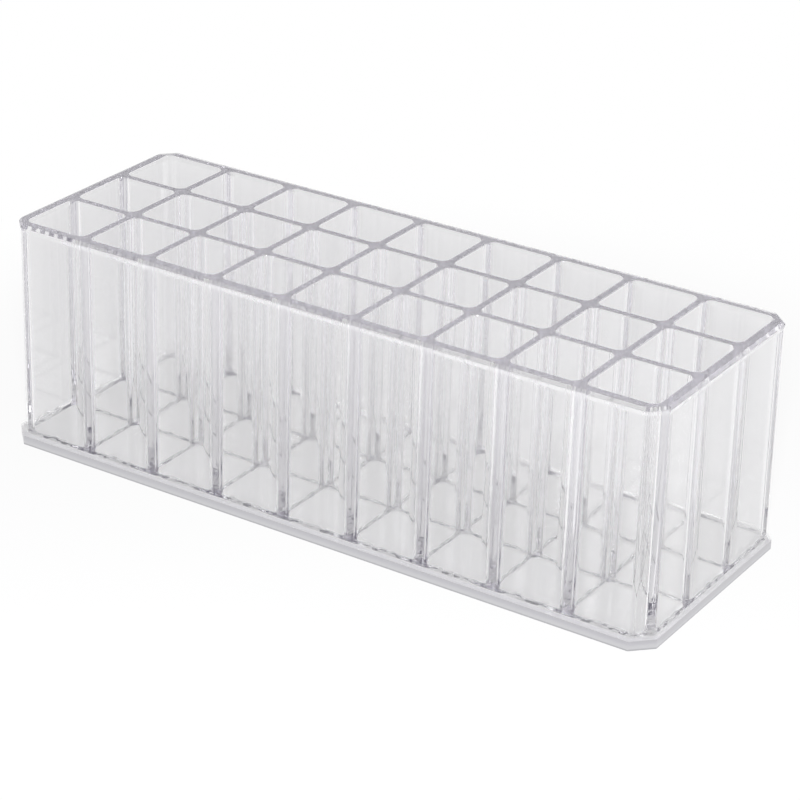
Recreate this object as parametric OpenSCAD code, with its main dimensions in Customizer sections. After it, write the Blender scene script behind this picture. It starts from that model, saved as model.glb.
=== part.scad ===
// Clear lipstick and brush organizer: a moulded block of upright wells, cemented on a flat base plate.
// Millimetres. X runs along the length, Y from front to back, Z up from the plate's underside.

/* [Wells] */
// Number of wells along the length
wells_long = 9; // [1:1:14]
// Number of wells from front to back
wells_deep = 3; // [1:1:6]
// Clear width of each square well
well_w = 20.8; // [12:0.1:40]
// Radius of the fillet in each upright corner of a well
well_r = 2.4; // [0.5:0.1:5]
// Thickness of the dividers between wells
divider_t = 2.2; // [1:0.1:5]

/* [Block] */
// Height of the block, from its foot to the flat of the rim
block_h = 66; // [20:0.5:120]
// Width of the rim's flat, outside the outermost wells
rim_w = 2.6; // [1.5:0.1:6]
// How far each upright corner of the block is cut back along either side
block_corner_cut = 4; // [0.5:0.1:6]
// How much further out each side stands at the foot than under the lip, so that it leaves the mould
side_lean = 0.45; // [0.1:0.05:1.5]

/* [Lip] */
// Size of the 45 degree bevel round the outside of the rim
lip_bevel = 0.95; // [0.3:0.05:2]
// Height of the lip, from the rim's flat down to the plain wall
lip_h = 2.4; // [2.1:0.1:6]
// How far the lip stands proud of the wall under it
lip_proud = 0.5; // [0.1:0.05:0.9]

/* [Base plate] */
// Thickness of the base plate
plate_t = 3; // [1:0.1:8]
// How far the plate sticks out past the block's foot at either end
plate_end_overhang = 1.3; // [0:0.1:10]
// How far the plate sticks out past the block's foot at the front and at the back
plate_side_overhang = 1.85; // [0:0.05:10]
// How far the plate sticks out past the block's cut corners
plate_corner_overhang = 1.5; // [0:0.05:4]

/* [Cement] */
// Thickness of the cured cement between the block's foot and the plate
cement_t = 0.15; // [0.05:0.05:0.5]
// How far the cement stops short of the faces of the walls
cement_setback = 0.35; // [0.1:0.05:0.45]

/* [Hidden] */
// Cuts run past the faces that they open by this much.
overrun = 1;
// Facets of a full circle
round_fn = 48;
// Distance from one well to the next
pitch = well_w + divider_t;
// Length and width of the rim's flat
rim_l = wells_long * pitch - divider_t + 2 * rim_w;
rim_d = wells_deep * pitch - divider_t + 2 * rim_w;
// How far the wall stands outside the rim's flat, under the lip and at the foot
outset_under_lip = lip_bevel - lip_proud;
outset_at_foot = outset_under_lip + side_lean;
// Length and width of the block at its foot, and of the plate
foot_l = rim_l + 2 * outset_at_foot;
foot_d = rim_d + 2 * outset_at_foot;
plate_l = foot_l + 2 * plate_end_overhang;
plate_d = foot_d + 2 * plate_side_overhang;
// Heights of the block's foot and of the rim's flat
foot_z = plate_t + cement_t;
rim_z = foot_z + block_h;
// Distance from the middle to the cut face of a corner: at the rim's flat, the foot and the plate
rim_reach = (rim_l + rim_d - 2 * block_corner_cut) / (2 * sqrt(2));
foot_reach = rim_reach + outset_at_foot;
plate_reach = foot_reach + plate_corner_overhang;

// A rectangle whose corners are cut at 45 degrees by faces that lie reach away from its middle.
module cut_rectangle(l, d, reach) {
    cut = (l + d) / 2 - sqrt(2) * reach;
    polygon([
        [-l / 2 + cut, -d / 2], [l / 2 - cut, -d / 2], [l / 2, -d / 2 + cut], [l / 2, d / 2 - cut],
        [l / 2 - cut, d / 2], [-l / 2 + cut, d / 2], [-l / 2, d / 2 - cut], [-l / 2, -d / 2 + cut]
    ]);
}

// A square with its four corners rounded.
module rounded_square(w, r) {
    square([w - 2 * r, w], center = true);
    square([w, w - 2 * r], center = true);
    for (x = [-1, 1], y = [-1, 1])
        translate([x * (w / 2 - r), y * (w / 2 - r)]) circle(r, $fn = round_fn);
}

// Puts its children on the middle of every well.
module at_wells() {
    for (column = [0 : wells_long - 1], row = [0 : wells_deep - 1])
        translate([
            (column - (wells_long - 1) / 2) * pitch,
            (row - (wells_deep - 1) / 2) * pitch
        ]) children();
}

// The block between two opposite sides, each half_l from the axis at the rim's flat: plain leaning
// walls, then the lip and its bevel. It is long enough to pass the ends of the block.
module side_pair(half_l, angle) {
    rotate([0, 0, angle]) rotate([90, 0, 0])
        linear_extrude(height = foot_l + foot_d, center = true)
            polygon([
                [-half_l - outset_at_foot, foot_z],
                [half_l + outset_at_foot, foot_z],
                [half_l + outset_under_lip, rim_z - lip_h],
                [half_l + lip_bevel, rim_z - lip_bevel],
                [half_l, rim_z],
                [-half_l, rim_z],
                [-half_l - lip_bevel, rim_z - lip_bevel],
                [-half_l - outset_under_lip, rim_z - lip_h]
            ]);
}

// One moulding: the outer walls, the lip and all the dividers, open at the top and at the bottom.
module well_block() {
    color([0.90, 0.91, 0.93, 0.35])
    difference() {
        intersection() {
            side_pair(rim_l / 2, 0);
            side_pair(rim_d / 2, 90);
            side_pair(rim_reach, 45);
            side_pair(rim_reach, -45);
        }
        translate([0, 0, foot_z - overrun])
            at_wells()
                linear_extrude(height = block_h + 2 * overrun) rounded_square(well_w, well_r);
    }
}

// The floor of every well: a flat plate with cut corners.
module base_plate() {
    color([0.84, 0.86, 0.88, 0.45])
    linear_extrude(height = plate_t) cut_rectangle(plate_l, plate_d, plate_reach);
}

// The cured cement under the foot of every wall, set back from the walls' faces.
module cement_film() {
    color([0.95, 0.95, 0.93, 0.6])
    translate([0, 0, plate_t]) linear_extrude(height = cement_t) difference() {
        cut_rectangle(
            foot_l - 2 * cement_setback, foot_d - 2 * cement_setback, foot_reach - cement_setback
        );
        at_wells() rounded_square(well_w + 2 * cement_setback, well_r + cement_setback);
    }
}

base_plate();
cement_film();
well_block();
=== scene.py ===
import math

import bpy
import numpy as np
from mathutils import Matrix, Vector


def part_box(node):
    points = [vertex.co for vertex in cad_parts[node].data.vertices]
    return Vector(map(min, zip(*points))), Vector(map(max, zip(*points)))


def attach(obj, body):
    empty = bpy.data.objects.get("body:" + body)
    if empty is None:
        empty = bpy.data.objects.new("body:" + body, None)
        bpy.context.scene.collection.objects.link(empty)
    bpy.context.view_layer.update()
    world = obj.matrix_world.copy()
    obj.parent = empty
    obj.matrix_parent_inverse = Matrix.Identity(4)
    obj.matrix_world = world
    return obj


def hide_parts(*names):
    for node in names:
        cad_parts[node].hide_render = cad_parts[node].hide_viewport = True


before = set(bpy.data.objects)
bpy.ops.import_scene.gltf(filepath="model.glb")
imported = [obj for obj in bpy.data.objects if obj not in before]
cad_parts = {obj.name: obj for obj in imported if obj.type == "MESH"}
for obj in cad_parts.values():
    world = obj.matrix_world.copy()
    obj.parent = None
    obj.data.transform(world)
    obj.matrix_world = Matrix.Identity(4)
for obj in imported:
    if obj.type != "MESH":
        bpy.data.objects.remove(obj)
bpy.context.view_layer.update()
scene = bpy.context.scene
scene.view_settings.view_transform = "Standard"

# The viewpoint: the organizer is seen from its front right corner and from above, through a long
# lens, with the camera tipped a little to one side. The script's lengths are in metres, but for the
# lens and the sensor, in millimetres, and its named angles are in degrees.
CAMERA_AIM = (0.0047, 0.0002, 0.0296)
CAMERA_DISTANCE = 0.7753
CAMERA_AZIMUTH = 32.645
CAMERA_ELEVATION = 25.706
CAMERA_ROLL = 1.54
CAMERA_LENS, CAMERA_SENSOR_WIDTH = 123.59, 36

azimuth, elevation = math.radians(CAMERA_AZIMUTH), math.radians(CAMERA_ELEVATION)
forward = Vector((
    -math.sin(azimuth) * math.cos(elevation),
    math.cos(azimuth) * math.cos(elevation),
    -math.sin(elevation),
))
right = forward.cross(Vector((0, 0, 1))).normalized()
camera_data = bpy.data.cameras.new("camera")
camera_data.sensor_width = CAMERA_SENSOR_WIDTH
camera_data.lens = CAMERA_LENS
camera = bpy.data.objects.new("camera", camera_data)
camera.matrix_world = (
    Matrix.Translation(Vector(CAMERA_AIM) - forward * CAMERA_DISTANCE)
    @ Matrix((right, right.cross(forward), -forward)).transposed().to_4x4()
    @ Matrix.Rotation(math.radians(CAMERA_ROLL), 4, "Z")
)
scene.collection.objects.link(camera)
scene.camera = camera

# The well block: one injection moulding in clear polystyrene, with 27 square wells that run right
# through it. The core pins left a fillet in each upright corner, and every edge is slightly
# rounded, so that the rim shows a fine bright line. It stands on the cement, over the base plate.
WELLS_LONG, WELLS_DEEP = 9, 3
WELL_W = 0.0208
WELL_R = 0.0024
DIVIDER_T = 0.0022
RIM_W = 0.0026
BLOCK_CORNER_CUT = 0.004
BLOCK_CORNER_R = 0.0008
LIP_BEVEL, LIP_H, LIP_PROUD = 0.00095, 0.0024, 0.0005
SIDE_LEAN = 0.00045
MOUTH_R, FOOT_R = 0.0004, 0.0002
LIP_TOP_R, LIP_EDGE_R, LIP_ROOT_R = 0.0003, 0.0004, 0.0010
PROFILE_STEPS, CORNER_STEPS = 4, 12
HALF_STEPS = CORNER_STEPS // 2
GRID_STEPS_PER_METRE = 1e8

PITCH = WELL_W + DIVIDER_T
WELL_FLAT = WELL_W / 2 - WELL_R
RIM_HALF = np.array([WELLS_LONG, WELLS_DEEP]) * PITCH / 2 - DIVIDER_T / 2 + RIM_W
FOOT_Z, RIM_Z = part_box("well_block")[0][2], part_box("well_block")[1][2]


def rounded_profile(corners, radii):
    """A polyline whose inner corners become arcs: each arc is tangent to both its sides, and its
    points and outward normals turn evenly from one side's to the other's. The solid is on the
    right of the line. Returns the points and the normals."""
    corners = np.array(corners)
    points, normals = [], []
    for before, corner, after, radius in zip(corners, corners[1:], corners[2:], radii):
        along_in = (corner - before) / np.linalg.norm(corner - before)
        along_out = (after - corner) / np.linalg.norm(after - corner)
        turn = np.arctan2(
            along_in[0] * along_out[1] - along_in[1] * along_out[0], along_in @ along_out
        )
        start = corner - along_in * radius * abs(np.tan(turn / 2))
        left_in = np.array([-along_in[1], along_in[0]])
        angles = turn * np.arange(PROFILE_STEPS + 1) / PROFILE_STEPS
        normal = np.outer(np.cos(angles), left_in) - np.outer(np.sin(angles), along_in)
        side = np.sign(turn)
        points.append(start + side * radius * (left_in - normal))
        normals.append(normal)
    return np.concatenate(points), np.concatenate(normals)


def well_ring():
    """Unit normals round a rounded square, from +X through +Y, and its corners' arc centres."""
    quarter = np.arange(CORNER_STEPS + 1) / CORNER_STEPS * math.pi / 2
    angles = np.concatenate([quarter + side * math.pi / 2 for side in range(4)])
    signs = np.repeat([[1, 1], [-1, 1], [-1, -1], [1, -1]], CORNER_STEPS + 1, axis=0)
    return np.stack([np.cos(angles), np.sin(angles)], axis=1), signs * WELL_FLAT


def cut_corner(half, cut, radius, start, end):
    """A rectangle's corner at +X +Y, cut at 45 degrees with both edges rounded. It runs from start
    on the +X side to end on the +Y side. Returns CORNER_STEPS + 1 points and normals."""
    arc_steps = HALF_STEPS - 2
    arc = np.arange(arc_steps + 1) / arc_steps * math.pi / 4
    tangent = radius * math.tan(math.pi / 8)
    first = np.array([half[0] - radius, half[1] - cut - tangent])
    second = np.array([half[0] - cut - tangent, half[1] - radius])
    angles = np.concatenate([[0], arc, [math.pi / 4], arc + math.pi / 4, [math.pi / 2]])
    normals = np.stack([np.cos(angles), np.sin(angles)], axis=1)
    arcs = np.concatenate([
        first + radius * normals[1:arc_steps + 2],
        [half - cut / 2],
        second + radius * normals[arc_steps + 3:-1],
    ])
    return np.concatenate([[start], arcs, [end]]), normals


def on_grid(points):
    """Points as whole numbers of steps of a very fine grid, so that coinciding points are equal."""
    return np.round(points * GRID_STEPS_PER_METRE).astype(np.int64)


def add_piece(name, points, faces):
    """A smooth piece with its place in its mesh."""
    mesh = bpy.data.meshes.new(name)
    mesh.from_pydata(points.tolist(), [], faces)
    mesh.shade_smooth()
    piece = bpy.data.objects.new(name, mesh)
    scene.collection.objects.link(piece)
    return piece


def make_mesh(name, grids, loops=()):
    """A closed mesh from grids of points with their normals. Each grid is (rows, columns, 3), and
    neighbouring rows and columns span its faces. Points that coincide are joined. A loop is a row
    of points that one flat face fills."""
    points, normals, faces, count = [], [], [], 0
    for grid, grid_normals in grids:
        index = count + np.arange(grid.shape[0] * grid.shape[1]).reshape(grid.shape[:2])
        faces.append(np.stack(
            [index[:-1, :-1], index[1:, :-1], index[1:, 1:], index[:-1, 1:]], axis=-1
        ).reshape(-1, 4))
        points.append(grid.reshape(-1, 3))
        normals.append(grid_normals.reshape(-1, 3))
        count += index.size
    points, normals = np.concatenate(points), np.concatenate(normals)
    faces = np.concatenate(faces)
    _, first, joined = np.unique(on_grid(points), axis=0, return_index=True, return_inverse=True)
    faces = joined.reshape(-1)[faces]
    same = (faces == np.roll(faces, 1, axis=1)).sum(axis=1)
    faces = [face[face != np.roll(face, 1)].tolist() for face in faces[same < 2]]
    number = {tuple(point): i for i, point in enumerate(on_grid(points[first]))}
    for loop in loops:
        faces.append([number[tuple(point)] for point in on_grid(loop)])
    piece = add_piece(name, points[first], faces)
    piece.data.normals_split_custom_set_from_vertices(normals[first].tolist())
    return piece


def with_z(points, z):
    """Points in the plane, lifted to height z."""
    return np.concatenate([points, np.full(points.shape[:-1] + (1,), z)], axis=-1)


lip_corners = [
    (-RIM_W, RIM_Z), (0, RIM_Z), (LIP_BEVEL, RIM_Z - LIP_BEVEL),
    (LIP_BEVEL - LIP_PROUD, RIM_Z - LIP_H),
    (LIP_BEVEL - LIP_PROUD + SIDE_LEAN, FOOT_Z), (-RIM_W, FOOT_Z),
]
outside, outside_normals = rounded_profile(
    lip_corners, [LIP_TOP_R, LIP_EDGE_R, LIP_ROOT_R, FOOT_R]
)
inside, inside_normals = rounded_profile(
    [(RIM_W, FOOT_Z), (0, FOOT_Z), (0, RIM_Z), (RIM_W, RIM_Z)], [FOOT_R, MOUTH_R]
)

ring, arc_centres = well_ring()
columns = (np.arange(WELLS_LONG) - (WELLS_LONG - 1) / 2) * PITCH
rows = (np.arange(WELLS_DEEP) - (WELLS_DEEP - 1) / 2) * PITCH
tile_corner = cut_corner(
    RIM_HALF, BLOCK_CORNER_CUT, BLOCK_CORNER_R,
    (RIM_HALF[0], rows[-1] + WELL_FLAT), (columns[-1] + WELL_FLAT, RIM_HALF[1]),
)


def tile_edge(column, row, reach):
    """The edge of the flat round one well, point for point with the well's ring. It meets the
    neighbours' half way along a divider, and elsewhere lies reach outside the rim's flat."""
    centre = np.array([columns[column], rows[row]])
    edge = []
    for sign in np.array([[1, 1], [-1, 1], [-1, -1], [1, -1]]):
        last = np.array([
            column == (WELLS_LONG - 1 if sign[0] > 0 else 0),
            row == (WELLS_DEEP - 1 if sign[1] > 0 else 0),
        ])
        if last.all():
            points = (tile_corner[0] + reach * tile_corner[1]) * sign
        else:
            limit = np.where(last, sign * (RIM_HALF + reach), centre + sign * PITCH / 2)
            flat_end = centre + sign * WELL_FLAT
            share = (np.arange(HALF_STEPS + 1) / HALF_STEPS)[:, None]
            up = np.array([limit[0], flat_end[1]]) * (1 - share) + limit * share
            back = limit * (1 - share) + np.array([flat_end[0], limit[1]]) * share
            points = np.concatenate([up, back[1:]])
        edge.append(points if sign.prod() > 0 else points[::-1])
    return np.concatenate(edge)


def closed(rows_of_points):
    """Repeats the first column of a grid, so that it closes on itself."""
    return np.concatenate([rows_of_points, rows_of_points[:, :1]], axis=1)


block_grids = []
for column in range(WELLS_LONG):
    for row in range(WELLS_DEEP):
        centre = np.array([columns[column], rows[row]]) + arc_centres
        rings = centre + (WELL_R + inside[:, :1, None]) * ring
        well = np.concatenate([rings, np.broadcast_to(
            inside[:, 1, None, None], rings.shape[:2] + (1,))], axis=2)
        well_normals = np.concatenate([
            inside_normals[:, 0, None, None] * ring,
            np.broadcast_to(inside_normals[:, 1, None, None], rings.shape[:2] + (1,)),
        ], axis=2)
        foot = with_z(tile_edge(column, row, outside[-1, 0]), FOOT_Z)
        rim = with_z(tile_edge(column, row, outside[0, 0]), RIM_Z)
        grid = np.concatenate([[foot], well, [rim]])
        down, up = np.zeros((1,) + foot.shape), np.zeros((1,) + foot.shape)
        down[..., 2], up[..., 2] = -1, 1
        block_grids.append((closed(grid), closed(np.concatenate([down, well_normals, up]))))


def side_stations(centres):
    """Places along a side where the tiles' edges have points, between the first and last well."""
    gap = PITCH - 2 * WELL_FLAT
    between = centres[:-1, None] + WELL_FLAT + gap * np.arange(CORNER_STEPS + 1) / CORNER_STEPS
    return between.reshape(-1)


long_side, deep_side = side_stations(columns), side_stations(rows)
right_side = np.stack([np.full(len(deep_side), RIM_HALF[0]), deep_side], axis=1)
back_side = np.stack([long_side[::-1], np.full(len(long_side), RIM_HALF[1])], axis=1)
flip = np.array([-1, 1])
half_path = np.concatenate([right_side, tile_corner[0], back_side, tile_corner[0][::-1] * flip])
half_normals = np.concatenate([
    np.broadcast_to((1.0, 0.0), right_side.shape), tile_corner[1],
    np.broadcast_to((0.0, 1.0), back_side.shape), tile_corner[1][::-1] * flip,
])
path = np.concatenate([half_path, -half_path])
path_normals = np.concatenate([half_normals, -half_normals])


def carried(profile, profile_normals, path, path_normals):
    """A profile of (distance outwards, height) carried along a path in the plane. Each point lies
    that far from the path along its normal, and the surface's normal turns with both."""
    band = path + profile[:, :1, None] * path_normals
    shape = band.shape[:2] + (1,)
    heights = np.broadcast_to(profile[:, 1, None, None], shape)
    leans = np.broadcast_to(profile_normals[:, 1, None, None], shape)
    sideways = profile_normals[:, 0, None, None] * path_normals
    return np.concatenate([band, heights], axis=2), np.concatenate([sideways, leans], axis=2)


band, band_normals = carried(outside, outside_normals, path, path_normals)
block_grids.append((closed(band), closed(band_normals)))
block = make_mesh("well_block_moulding", block_grids)
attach(block, "root")
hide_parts("well_block")


def linear(hex_colour):
    """An sRGB colour written as hex, in the linear values that shaders take."""
    share = np.array([int(hex_colour[i:i + 2], 16) / 255 for i in (1, 3, 5)])
    share = np.where(share <= 0.04045, share / 12.92, ((share + 0.055) / 1.055) ** 2.4)
    return (*share.tolist(), 1.0)


def add_node(tree, kind, settings=None, links=None):
    """A shader node with its settings, and with each named input linked to an output."""
    node = tree.nodes.new(kind)
    for name, value in (settings or {}).items():
        if isinstance(name, int) or name in node.inputs:
            node.inputs[name].default_value = value
        else:
            setattr(node, name, value)
    for name, output in (links or {}).items():
        tree.links.new(output, node.inputs[name])
    return node


# Clear general-purpose polystyrene, injection moulded against a polished steel mould: glossy, with
# a high index that makes strong edges, a trace of violet toner that only shows through a long way
# of plastic, and very faint upright flow lines. Lamps shine straight through it, and each surface
# takes a part of their light.
POLYSTYRENE_IOR, POLISHED_ROUGHNESS = 1.57, 0.02
TONER_DENSITY = 4.5
FLOW_LINE_PITCH, FLOW_LINE_DEPTH, FLOW_LINE_STRETCH = 0.004, 0.000003, 20
polystyrene = bpy.data.materials.new("moulded_polystyrene")
polystyrene.use_nodes = True
tree = polystyrene.node_tree
tree.nodes.clear()
place = add_node(tree, "ShaderNodeTexCoord")
streaks = add_node(
    tree, "ShaderNodeMapping",
    {"Scale": np.array([1, 1, 1 / FLOW_LINE_STRETCH]) / FLOW_LINE_PITCH},
    {"Vector": place.outputs["Object"]},
)
flow = add_node(
    tree, "ShaderNodeTexNoise", {"Scale": 1.0}, {"Vector": streaks.outputs[0]}
)
ripple = add_node(
    tree, "ShaderNodeBump", {"Distance": FLOW_LINE_DEPTH}, {"Height": flow.outputs[0]}
)
shader = add_node(
    tree, "ShaderNodeBsdfPrincipled",
    {"Base Color": linear("#FFFFFF"), "Roughness": POLISHED_ROUGHNESS, "IOR": POLYSTYRENE_IOR,
     "Transmission Weight": 1.0},
    {"Normal": ripple.outputs[0]},
)
toner = add_node(
    tree, "ShaderNodeVolumeAbsorption", {"Color": linear("#D8D2E4"), "Density": TONER_DENSITY}
)
lamp_rays = add_node(tree, "ShaderNodeLightPath")
passed = add_node(tree, "ShaderNodeBsdfTransparent", {"Color": linear("#C2C1C5")})
surface = add_node(
    tree, "ShaderNodeMixShader", None,
    {0: lamp_rays.outputs["Is Shadow Ray"], 1: shader.outputs[0], 2: passed.outputs[0]},
)
add_node(
    tree, "ShaderNodeOutputMaterial", None,
    {"Surface": surface.outputs[0], "Volume": toner.outputs[0]},
)
block.data.materials.append(polystyrene)


# The base plate: a flat sheet of the same clear plastic, 3 mm thick, with its corners sawn off and
# the sharpness just taken off its edges. It is the floor of every well, and sticks out a little
# past the block all round.
PLATE_CORNER_CUT = 0.00556
PLATE_CORNER_R, PLATE_EDGE_R = 0.0003, 0.00015
SAWN_ROUGHNESS, ARRIS_SHADE_H = 0.3, 0.0007
SAWN_NORMAL_Z = 0.5

plate_low, plate_high = (np.array(corner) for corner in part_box("base_plate"))
plate_half = (plate_high[:2] - plate_low[:2]) / 2
plate_edge, plate_edge_normals = rounded_profile(
    [(-RIM_W, plate_high[2]), (0, plate_high[2]), (0, plate_low[2]), (-RIM_W, plate_low[2])],
    [PLATE_EDGE_R, PLATE_EDGE_R],
)
inner = plate_half - PLATE_CORNER_CUT - PLATE_CORNER_R
corner, corner_normals = cut_corner(
    plate_half, PLATE_CORNER_CUT, PLATE_CORNER_R,
    (plate_half[0], inner[1]), (inner[0], plate_half[1]),
)
half_path = np.concatenate([corner, corner[::-1] * flip])
half_normals = np.concatenate([corner_normals, corner_normals[::-1] * flip])
plate_band, plate_normals = carried(
    plate_edge, plate_edge_normals,
    np.concatenate([half_path, -half_path]), np.concatenate([half_normals, -half_normals]),
)
plate = make_mesh(
    "base_plate_sheet", [(closed(plate_band), closed(plate_normals))],
    [plate_band[0], plate_band[-1][::-1]],
)
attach(plate, "root")
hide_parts("base_plate")

plate.data.materials.append(polystyrene)

# The plate's edges are sawn and left as cut: the same plastic, but satin. Their colour is painted
# shade:
# a little greyer all over, and darkest along the lower arris, as a painted contact shadow where the
# edge stands on the paper. They are the faces whose normals hardly point up or down.
sawn = polystyrene.copy()
sawn.name = "sawn_polystyrene_edge_painted_shade"
tree = sawn.node_tree
place = add_node(tree, "ShaderNodeTexCoord")
height = add_node(tree, "ShaderNodeSeparateXYZ", None, {"Vector": place.outputs["Object"]})
above_arris = add_node(
    tree, "ShaderNodeMapRange", {"From Min": 0.0, "From Max": ARRIS_SHADE_H},
    {"Value": height.outputs["Z"]},
)
# Painted shade: the edge's base colour runs from dark grey at the bottom to light grey
# ARRIS_SHADE_H higher up.
edge_painted_shade = add_node(tree, "ShaderNodeValToRGB", None, {"Fac": above_arris.outputs["Result"]})
edge_painted_shade.color_ramp.elements[0].color = linear("#5A5A62")
edge_painted_shade.color_ramp.elements[1].color = linear("#C8C8CC")
sawn_shader = tree.nodes["Principled BSDF"]
sawn_shader.inputs["Roughness"].default_value = SAWN_ROUGHNESS
tree.links.new(edge_painted_shade.outputs["Color"], sawn_shader.inputs["Base Color"])
plate.data.materials.append(sawn)
plate.data.polygons.foreach_set("material_index", [
    int(abs(polygon.normal[2]) < SAWN_NORMAL_Z) for polygon in plate.data.polygons
])

# The cement: a solvent cement is run along the joint from inside every well and from outside. It
# creeps under the walls from both faces and stands up against them in a hollow bead of uneven
# width. Where two creeping edges don't meet, air stays under the wall and shows as a dark patch.
CEMENT_SINK = 0.00003
WELL_BEAD_POINTS, LEDGE_BEAD_POINTS, BEAD_ARC_STEPS = 144, 1008, 6
CREEP_GAP, WALL_CREEP, LEAST_CREEP_SHARE, CREEP_CONTRAST = 0.00003, 0.00172, 0.04, 3.5
CROSS_WETNESS, LONG_WETNESS, OUTER_WETNESS = 1.2, 1.0, 1.0
FACING_SHARE = 0.5
BEAD_WIDTHS, BEAD_HEIGHTS, BEAD_CORNER_RISE = (0.0002, 0.0008), (0.000175, 0.000825), 0.0010
LEDGE_BEAD_WIDTHS, LEDGE_BEAD_HEIGHTS = (0.00028, 0.00112), (0.00056, 0.00224)
CREEP_WAVES, WIDTH_WAVES, HEIGHT_WAVES = (5, 9, 14, 23), (6, 11, 17), (7, 12, 19)
LEDGE_CREEP_WAVES, LEDGE_WIDTH_WAVES = (41, 67, 101, 153), (37, 71, 113)
LEDGE_HEIGHT_WAVES = (43, 83, 131)
SINES_SPREAD = 2.24
DRY_ALONG_WALL, DRY_ALONG_DIVIDER = 0.0062, 0.0075
DRIEST_SHARE, DRY_BEAD_SHARE = 0.03, 0.12
BEAD_SHARP_ANGLE = 35
CURED_ROUGHNESS = 0.15
RANDOM_SEED = 7

draw = np.random.default_rng(RANDOM_SEED)
plate_top = plate_high[2]


def evenly(path, normals, count):
    """A closed path and its normals, sampled again at count points at equal distances."""
    path, normals = np.concatenate([path, path[:1]]), np.concatenate([normals, normals[:1]])
    far = np.concatenate([[0], np.cumsum(np.linalg.norm(np.diff(path, axis=0), axis=1))])
    at = np.arange(count) / count * far[-1]
    sampled = [np.interp(at, far, values) for values in (*path.T, *normals.T)]
    lengths = np.hypot(sampled[2], sampled[3])
    return np.stack(sampled[:2], axis=1), np.stack(sampled[2:], axis=1) / lengths[:, None]


def uneven(count, waves, low, high):
    """Values from low to high round a closed path: a sum of sines, each with its own number of
    waves and a start drawn at random, clipped where it goes too far."""
    turn = np.arange(count) / count * 2 * math.pi
    total = sum(np.sin(turn * wave + draw.uniform(0, 2 * math.pi)) for wave in waves)
    share = np.clip(0.5 + total / (SINES_SPREAD * math.sqrt(len(waves))), 0, 1)
    return low + (high - low) * share


def patchy(count, waves, wetness):
    """Shares from nearly 0 to 1 that change steeply. The wetness, which may be over 1, is the
    middle before they are clipped, so the wetter a joint is, the more of it has the share 1."""
    middle = wetness + CREEP_CONTRAST * (uneven(count, waves, 0, 1) - 0.5)
    return np.clip(middle, LEAST_CREEP_SHARE, 1)


def wetted(points):
    """How far the cement gets at points in the plane: all the way, 1, but for a dry patch where
    each divider meets an outer wall. A patch reaches nearly as far to either side along the wall
    as inwards along the divider."""
    wet = np.ones(len(points))
    for axis, centres in ((0, columns), (1, rows)):
        beside = np.abs(points[:, axis, None] - (centres[:-1] + PITCH / 2)).min(axis=1)
        inwards = RIM_HALF[1 - axis] - np.abs(points[:, 1 - axis])
        spread = (beside / DRY_ALONG_WALL) ** 2 + (inwards / DRY_ALONG_DIVIDER) ** 2
        wet = np.minimum(wet, 1 - (1 - DRIEST_SHARE) * np.exp(-spread ** 2))
    return wet


def bead(path, normals, creep, width, height):
    """The points of one bead: at each point of the path, a section that runs under the wall by
    creep, up the wall by height and down a hollow quarter ellipse to the plate, width away. The
    bead sinks a little into the block and the plate, so that no air stays between them."""
    turn = np.arange(BEAD_ARC_STEPS + 1)[:, None] / BEAD_ARC_STEPS * math.pi / 2
    full = np.ones_like(creep)
    away = np.concatenate([
        [-creep, -CEMENT_SINK * full, -CEMENT_SINK * full],
        width * (1 - np.cos(turn)), [width, -creep],
    ])
    up = np.concatenate([
        [(FOOT_Z + CEMENT_SINK) * full, (FOOT_Z + CEMENT_SINK) * full, FOOT_Z + height],
        plate_top + (FOOT_Z - plate_top + height) * (1 - np.sin(turn)),
        [(plate_top - CEMENT_SINK) * full, (plate_top - CEMENT_SINK) * full],
    ])
    flat = path + away[..., None] * normals
    return np.concatenate([flat, up[..., None]], axis=2)


def rings_mesh(name, grids):
    """One mesh of closed bands: each grid closes on itself along its rows and its columns."""
    points, faces, count = [], [], 0
    for grid in grids:
        index = count + np.arange(grid.shape[0] * grid.shape[1]).reshape(grid.shape[:2])
        after = np.roll(index, -1, axis=1)
        faces.append(np.stack(
            [index, after, np.roll(after, -1, axis=0), np.roll(index, -1, axis=0)], axis=-1
        ).reshape(-1, 4))
        points.append(grid.reshape(-1, 3))
        count += index.size
    piece = add_piece(name, np.concatenate(points), np.concatenate(faces).tolist())
    piece.data.set_sharp_from_angle(angle=math.radians(BEAD_SHARP_ANGLE))
    return piece


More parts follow.
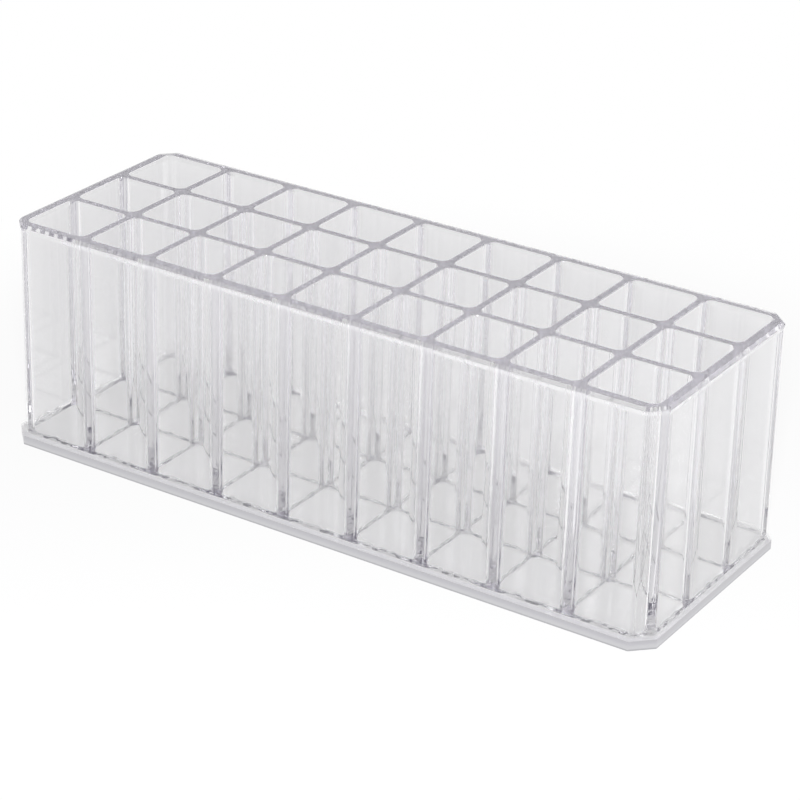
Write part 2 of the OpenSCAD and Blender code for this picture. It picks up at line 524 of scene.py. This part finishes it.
# The cement can creep from a well as far as the middle of a divider or, under an outer wall, as
# far as the cement from outside leaves room, also behind the cut corners. Slant says how far each
# point's normal leans to either axis, and outer whether it points to an outer wall there.
foot_path, foot_normals = evenly(arc_centres + WELL_R * ring, -ring, WELL_BEAD_POINTS)
slant = np.abs(foot_normals)
fillet_share = 2 * slant[:, 0] * slant[:, 1]
wetness_inside = np.where(slant[:, 0] > slant[:, 1], CROSS_WETNESS, LONG_WETNESS)
cut_reach = (
    (RIM_HALF.sum() - BLOCK_CORNER_CUT - columns[-1] - rows[-1] - 2 * WELL_FLAT) / math.sqrt(2)
    + outside[-1, 0] - WALL_CREEP
)
beads = []
for column in range(WELLS_LONG):
    for row in range(WELLS_DEEP):
        outer = np.stack([
            (foot_normals[:, 0] > 0) & (column == 0)
            | (foot_normals[:, 0] < 0) & (column == WELLS_LONG - 1),
            (foot_normals[:, 1] > 0) & (row == 0)
            | (foot_normals[:, 1] < 0) & (row == WELLS_DEEP - 1),
        ], axis=1)
        reach = np.where(outer, WELL_R + WALL_CREEP, PITCH / 2 - WELL_FLAT - CREEP_GAP)
        most = (reach / np.maximum(slant, np.finfo(float).eps)).min(axis=1)
        cut_most = cut_reach * math.sqrt(2) / slant.sum(axis=1)
        most = np.where(outer.all(axis=1), np.minimum(most, cut_most), most) - WELL_R
        facing_outside = (outer & (slant > FACING_SHARE)).any(axis=1)
        wetness = np.where(facing_outside, OUTER_WETNESS, wetness_inside)
        foot = np.array([columns[column], rows[row]]) + foot_path
        wet = wetted(foot)
        creep = most * patchy(WELL_BEAD_POINTS, CREEP_WAVES, wetness) * wet
        width = uneven(WELL_BEAD_POINTS, WIDTH_WAVES, *BEAD_WIDTHS)
        rise = uneven(WELL_BEAD_POINTS, HEIGHT_WAVES, *BEAD_HEIGHTS)
        rise = (rise + BEAD_CORNER_RISE * fillet_share) * np.maximum(wet, DRY_BEAD_SHARE)
        beads.append(bead(foot, foot_normals, creep, width, rise))

# The bead outside lies on the plate's ledge. Its path is turned round, so that its faces point
# outwards like those of the beads inside.
ledge_path, ledge_normals = evenly(
    path + outside[-1, 0] * path_normals, path_normals, LEDGE_BEAD_POINTS
)
wet = wetted(ledge_path)
creep = WALL_CREEP * patchy(LEDGE_BEAD_POINTS, LEDGE_CREEP_WAVES, OUTER_WETNESS) * wet
width = uneven(LEDGE_BEAD_POINTS, LEDGE_WIDTH_WAVES, *LEDGE_BEAD_WIDTHS)
rise = uneven(LEDGE_BEAD_POINTS, LEDGE_HEIGHT_WAVES, *LEDGE_BEAD_HEIGHTS)
rise = rise * np.maximum(wet, DRY_BEAD_SHARE)
beads.append(bead(
    *(values[::-1] for values in (ledge_path, ledge_normals, creep, width, rise))
))
cement = rings_mesh("cement_beads", beads)
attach(cement, "root")
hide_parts("cement_film")

# Cured solvent cement is the same plastic, set again with tiny bubbles, so it is clear but a
# little rough. Where it fills the joint no light is lost, so the wetted parts of a foot look bright
# beside the dry patches.
cured = polystyrene.copy()
cured.name = "cured_solvent_cement"
cured.node_tree.nodes["Principled BSDF"].inputs["Roughness"].default_value = CURED_ROUGHNESS
cured.node_tree.nodes["Transparent BSDF"].inputs["Color"].default_value = linear("#FFFFFF")
cement.data.materials.append(cured)

# The studio: white paper that touches the underside of the plate and runs out flat all round. The
# paper
# glows: near the plate the glow is weaker, so that it shows the shadow, and farther out it is plain
# white.
# For rays that the plastic passes on the glow is weaker still, a painted shade that makes the paper
# look greyer through the plastic. A small lamp shines from just behind the camera, along its line
# of sight, so that what casts a shadow also hides it, and a weak one from behind the organizer.
FLOOR_HALF, PAPER_RISE = 4.0, 0.00002
# THROUGH_GLOW is the paper's glow for rays passed on by the plastic. It is lower than elsewhere, a
# painted shade that greys the paper seen through the plastic.
FLOOR_GLOW, GLOW_NEAR, GLOW_FAR, THROUGH_GLOW = 0.88, 0.13, 0.24, 0.66
FRONT_DISTANCE, FRONT_SIZE, FRONT_POWER = 0.8, 0.1, 10.5
BACK_PLACE, BACK_SIZE, BACK_POWER = (0.52, 0.91, 0.58), 0.3, 0.8
ROOM_BANDS = (
    (0.0, "#FFFFFF"), (0.17, "#F0F0F0"), (0.25, "#54515F"), (0.6, "#54515F"), (0.8, "#7A7A7C"),
)

floor_mesh = bpy.data.meshes.new("floor")
floor_mesh.from_pydata(
    [(x * FLOOR_HALF, y * FLOOR_HALF, PAPER_RISE) for x, y in ((-1, -1), (1, -1), (1, 1), (-1, 1))],
    [], [(0, 1, 2, 3)],
)
floor = bpy.data.objects.new("floor", floor_mesh)
scene.collection.objects.link(floor)
paper = bpy.data.materials.new("white_paper")
paper.use_nodes = True
tree = paper.node_tree
tree.nodes.clear()
matt = add_node(tree, "ShaderNodeBsdfDiffuse", {"Color": linear("#F9F9F9")})
glow = add_node(tree, "ShaderNodeEmission", {"Strength": 1.0})
rays = add_node(tree, "ShaderNodeLightPath")
place = add_node(tree, "ShaderNodeTexCoord")
far = add_node(
    tree, "ShaderNodeVectorMath", {"operation": "LENGTH"}, {0: place.outputs["Object"]}
)
level = add_node(
    tree, "ShaderNodeMapRange",
    {"interpolation_type": "SMOOTHSTEP", "From Min": GLOW_NEAR, "From Max": GLOW_FAR,
     "To Min": FLOOR_GLOW, "To Max": 1.0},
    {"Value": far.outputs["Value"]},
)
direct = add_node(
    tree, "ShaderNodeMath", {"operation": "MULTIPLY"},
    {0: rays.outputs["Is Camera Ray"], 1: level.outputs[0]},
)
# A ray that the slightly rough plastic passes on counts as glossy too. So both kinds have the share
# 1 at first, and the passed rays then lose what the paper is greyer by through the plastic: a
# painted shade.
bounced = add_node(
    tree, "ShaderNodeMath", {"operation": "MAXIMUM"},
    {0: rays.outputs["Is Glossy Ray"], 1: rays.outputs["Is Transmission Ray"]},
)
glow_share_painted_greyer = add_node(
    tree, "ShaderNodeMath", {"operation": "MULTIPLY_ADD", 1: THROUGH_GLOW - 1},
    {0: rays.outputs["Is Transmission Ray"], 2: bounced.outputs[0]},
)
share = add_node(
    tree, "ShaderNodeMath", {"operation": "MAXIMUM"},
    {0: direct.outputs[0], 1: glow_share_painted_greyer.outputs[0]},
)
paper_surface = add_node(
    tree, "ShaderNodeMixShader", None,
    {0: share.outputs[0], 1: matt.outputs[0], 2: glow.outputs[0]},
)
add_node(tree, "ShaderNodeOutputMaterial", None, {"Surface": paper_surface.outputs[0]})
floor_mesh.materials.append(paper)


def add_lamp(name, place, aim, size, power):
    """A square lamp at place that faces aim. The camera doesn't see it."""
    lamp_data = bpy.data.lights.new(name, "AREA")
    lamp_data.size = size
    lamp_data.energy = power
    lamp = bpy.data.objects.new(name, lamp_data)
    lamp.location = place
    lamp.rotation_euler = (place - aim).to_track_quat("Z", "Y").to_euler()
    lamp.visible_camera = False
    scene.collection.objects.link(lamp)


aim = Vector(CAMERA_AIM)
add_lamp("front_lamp", aim - forward * FRONT_DISTANCE, aim, FRONT_SIZE, FRONT_POWER)
add_lamp("back_softbox", Vector(BACK_PLACE), Vector(), BACK_SIZE, BACK_POWER)

# The room: white near the horizon, then a dark violet-grey band, which the rim's bevels and the
# upright fillets mirror, and a grey ceiling.
room = bpy.data.worlds.new("pale_room")
scene.world = room
room.use_nodes = True
tree = room.node_tree
tree.nodes.clear()
place = add_node(tree, "ShaderNodeTexCoord")
height = add_node(tree, "ShaderNodeSeparateXYZ", None, {"Vector": place.outputs["Generated"]})
ramp = add_node(tree, "ShaderNodeValToRGB", None, {"Fac": height.outputs["Z"]})
stops = ramp.color_ramp.elements
while len(stops) < len(ROOM_BANDS):
    stops.new(0.5)
for stop, (position, colour) in zip(stops, ROOM_BANDS):
    stop.position = position
    stop.color = linear(colour)
sky = add_node(
    tree, "ShaderNodeBackground", {"Strength": 1.0}, {"Color": ramp.outputs["Color"]}
)
add_node(tree, "ShaderNodeOutputWorld", None, {"Surface": sky.outputs[0]})

# A ray crosses many walls one after another before it leaves the block. Light bent by the plastic
# isn't followed to the paper: the plastic lets the lamps' light straight through instead.
scene.cycles.max_bounces = 64
scene.cycles.transmission_bounces = 48
scene.cycles.glossy_bounces = 56
scene.cycles.transparent_max_bounces = 24
scene.cycles.caustics_refractive = False
scene.cycles.caustics_reflective = False
